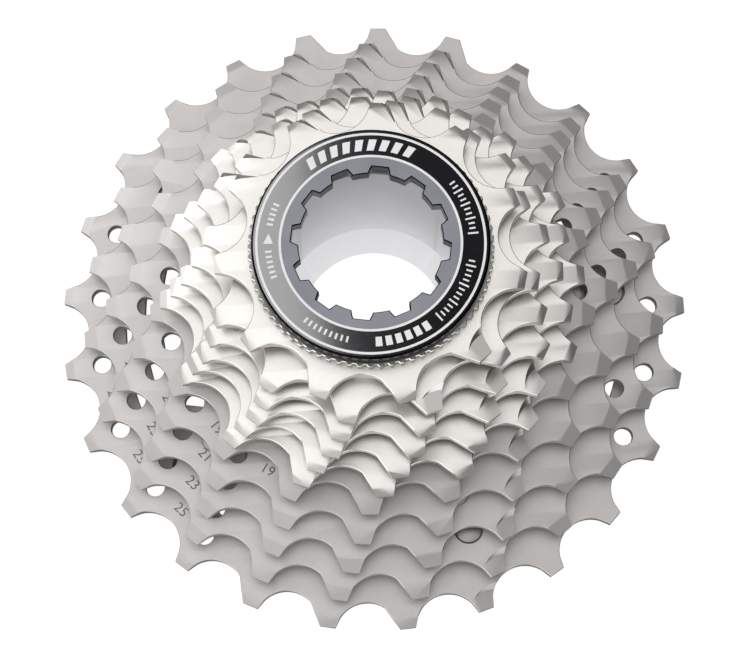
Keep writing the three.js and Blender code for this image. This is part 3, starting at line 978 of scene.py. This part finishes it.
sleeve()
outer_rivets, inner_rivets = LARGE_RIVETS["outer"], LARGE_RIVETS["inner"]
riveted_sprocket(0, open_radius=40.6, tab_radius=35.9, radii=[outer_rivets], arms=LARGE_ARMS)
riveted_sprocket(1, open_radius=37.0, tab_radius=30.2, radii=[outer_rivets, inner_rivets],
                 arms=LARGE_ARMS, counterbored=outer_rivets)
riveted_sprocket(2, open_radius=33.9, tab_radius=30.2, radii=[inner_rivets], arms=LARGE_ARMS)
riveted_sprocket(3, open_radius=28.6, tab_radius=23.9, radii=[SMALL_RIVETS], arms=SMALL_ARMS)
riveted_sprocket(4, open_radius=26.6, tab_radius=23.9, radii=[SMALL_RIVETS], arms=SMALL_ARMS)
carrier(
    "large_carrier", 0, front_face(2),
    layers=[
        spider_arms(LARGE_ARMS, front_face(0), back_face(2), reach=29.8, half_width=4.2),
        spider_arms(LARGE_ARMS, front_face(0), back_face(1), reach=41.6, half_width=3.6),
        spider_arms(LARGE_ARMS, front_face(1), back_face(2), reach=36.2, half_width=3.4),
    ],
    holes=rivet_holes([outer_rivets, inner_rivets], LARGE_ARMS), finish=COMPOSITE,
)
carrier(
    "small_carrier", back_face(3), front_face(4),
    layers=[spider_arms(SMALL_ARMS, front_face(3), back_face(4), reach=29.6, half_width=3.4)],
    holes=rivet_holes([SMALL_RIVETS], SMALL_ARMS), finish=ALUMINIUM,
)
rivets("outer_rivet", outer_rivets, LARGE_ARMS, back_face(0), front_face(1),
       sunk=RIVET_HEAD_THICKNESS + COUNTERBORE["head_below"] + FACE_GAP)
rivets("inner_rivet", inner_rivets, LARGE_ARMS, front_face(0), front_face(2))
rivets("small_rivet", SMALL_RIVETS, SMALL_ARMS, back_face(3), front_face(4))
spacer("spacer_19_21", 3)
for place in (5, 6, 7, 8):
    spacer(f"spacer_{SPROCKETS[place]['teeth']}_{SPROCKETS[place - 1]['teeth']}", place)
    nickel_sprocket(place)
nickel_sprocket(9, shoulder_radius=19.8)
nickel_sprocket(10, shoulder_radius=18.3)
numbers(0, gullets=(13, 14, 15), depth=2.4, size=2.3, finish=ENGRAVED)
numbers(1, gullets=(12, 13, 14), depth=2.5, size=2.3, finish=ENGRAVED)
numbers(2, gullets=(10, 11, 12), depth=2.7, size=2.3, finish=ENGRAVED)
numbers(3, gullets=(10, 11, 12), depth=2.7, size=2.3, finish=ENGRAVED)
numbers(8, gullets=(6.5,), depth=0.6, size=2.0, finish=ENGRAVED_NICKEL)
washer()
black_band = lockring()


# ---------------------------------------------------------------- floor, light and camera


FLOOR_SIZE = 3000
FLOOR_DROP = 0.2
FLOOR_TONE = 0.2
FLOOR_GLOW = 0.95
FLOOR_ROUGHNESS = 0.9

# A wide white sweep that glows nearly as bright as the backdrop, so that its edge hardly shows.
floor_material = bpy.data.materials.new("floor")
floor_material.use_nodes = True
shader = floor_material.node_tree.nodes["Principled BSDF"]
shader.inputs["Base Color"].default_value = (FLOOR_TONE, FLOOR_TONE, FLOOR_TONE, 1)
shader.inputs["Roughness"].default_value = FLOOR_ROUGHNESS
shader.inputs["Specular IOR Level"].default_value = 0.0
shader.inputs["Emission Color"].default_value = (1, 1, 1, 1)
shader.inputs["Emission Strength"].default_value = FLOOR_GLOW

half = FLOOR_SIZE / 2
corners = [(-half, -half), (half, -half), (half, half), (-half, half)]
floor_mesh = bpy.data.meshes.new("floor")
floor_mesh.from_pydata([Vector((x, y, -FLOOR_DROP)) * MM for x, y in corners], [], [(0, 1, 2, 3)])
floor_mesh.materials.append(floor_material)
floor = bpy.data.objects.new("floor", floor_mesh)
bpy.context.scene.collection.objects.link(floor)
floor.visible_glossy = False


def softbox(name, place, target, size, power):
    light = bpy.data.lights.new(name, "AREA")
    light.shape = "RECTANGLE"
    light.size, light.size_y = (side * MM for side in size)
    light.energy = power
    obj = bpy.data.objects.new(name, light)
    obj.location = Vector(place) * MM
    obj.rotation_mode = "QUATERNION"
    obj.rotation_quaternion = (Vector(target) - Vector(place)).to_track_quat("-Z", "Y")
    bpy.context.scene.collection.objects.link(obj)
    return obj


softbox("key", place=(-420, 430, 430), target=(0, 0, 20), size=(420, 420), power=1.3)
glint = softbox("glint", place=(-139, 150, 543), target=(-139, 150, 0), size=(250, 420), power=32.0)

# The glint is a panel that only the black band mirrors.
mirrored = bpy.data.collections.new("mirrored")
mirrored.objects.link(black_band)
glint.light_linking.receiver_collection = mirrored

# The room round the object: soft patches of light, each a direction, how wide its core and its edge
# are in degrees, and its brightness. +X is to the camera's right and +Y is away from it.
BACKDROP = 0.98  # brightness that the camera sees behind the object
ROOM_BASE = 0.06
ROOM = [
    ((0.0, 0.07, 0.99), 17, 44, 1.17),
    ((-0.80, 0.02, 0.55), 34, 70, 0.54),
    ((0.50, -0.90, 0.18), 12, 30, 1.0),
    ((-0.62, -0.76, 0.15), 20, 42, 1.1),
    ((0.45, 0.75, 0.50), 15, 45, 0.20),
]

world = bpy.data.worlds.new("studio")
bpy.context.scene.world = world
world.use_nodes = True
tree = world.node_tree
background = tree.nodes["Background"]
background.inputs["Color"].default_value = (1, 1, 1, 1)
ray = tree.nodes.new("ShaderNodeLightPath")
towards = tree.nodes.new("ShaderNodeTexCoord")
total = None
for direction, core, edge, brightness in ROOM:
    facing = tree.nodes.new("ShaderNodeVectorMath")
    facing.operation = "DOT_PRODUCT"
    facing.inputs[1].default_value = Vector(direction).normalized()
    patch_of_light = tree.nodes.new("ShaderNodeMapRange")
    patch_of_light.interpolation_type = "SMOOTHSTEP"
    patch_of_light.inputs["From Min"].default_value = math.cos(math.radians(edge))
    patch_of_light.inputs["From Max"].default_value = math.cos(math.radians(core))
    patch_of_light.inputs["To Max"].default_value = brightness
    add = tree.nodes.new("ShaderNodeMath")
    add.operation = "ADD"
    add.inputs[1].default_value = ROOM_BASE  # only the first sum starts from it
    tree.links.new(towards.outputs["Generated"], facing.inputs[0])
    tree.links.new(facing.outputs["Value"], patch_of_light.inputs["Value"])
    tree.links.new(patch_of_light.outputs["Result"], add.inputs[0])
    if total is not None:
        tree.links.new(total, add.inputs[1])
    total = add.outputs["Value"]
level = tree.nodes.new("ShaderNodeMix")
level.inputs["B"].default_value = BACKDROP
tree.links.new(ray.outputs["Is Camera Ray"], level.inputs["Factor"])
tree.links.new(total, level.inputs["A"])
tree.links.new(level.outputs["Result"], background.inputs["Strength"])

CAMERA_PLACE = (-4.379, -84.01, 307.211)
CAMERA_RIGHT = (0.99656, -0.08141, -0.01521)
CAMERA_UP = (0.08276, 0.97203, 0.21981)
CAMERA_SENSOR = 36
CAMERA_LENS = 92.69
CAMERA_SHIFT = (0.0187, 0.107)
CAMERA_NEAR = 10

camera_data = bpy.data.cameras.new("camera")
camera_data.sensor_width = CAMERA_SENSOR
camera_data.lens = CAMERA_LENS
camera_data.shift_x, camera_data.shift_y = CAMERA_SHIFT
camera_data.clip_start = CAMERA_NEAR * MM
camera = bpy.data.objects.new("camera", camera_data)
right = Vector(CAMERA_RIGHT).normalized()
back = right.cross(Vector(CAMERA_UP)).normalized()
up = back.cross(right)
turn = Matrix((right, up, back)).transposed().to_4x4()
camera.matrix_world = Matrix.Translation(Vector(CAMERA_PLACE) * MM) @ turn
bpy.context.scene.collection.objects.link(camera)
bpy.context.scene.camera = camera

view = bpy.context.scene.view_settings
view.view_transform = "Standard"
view.look = "None"
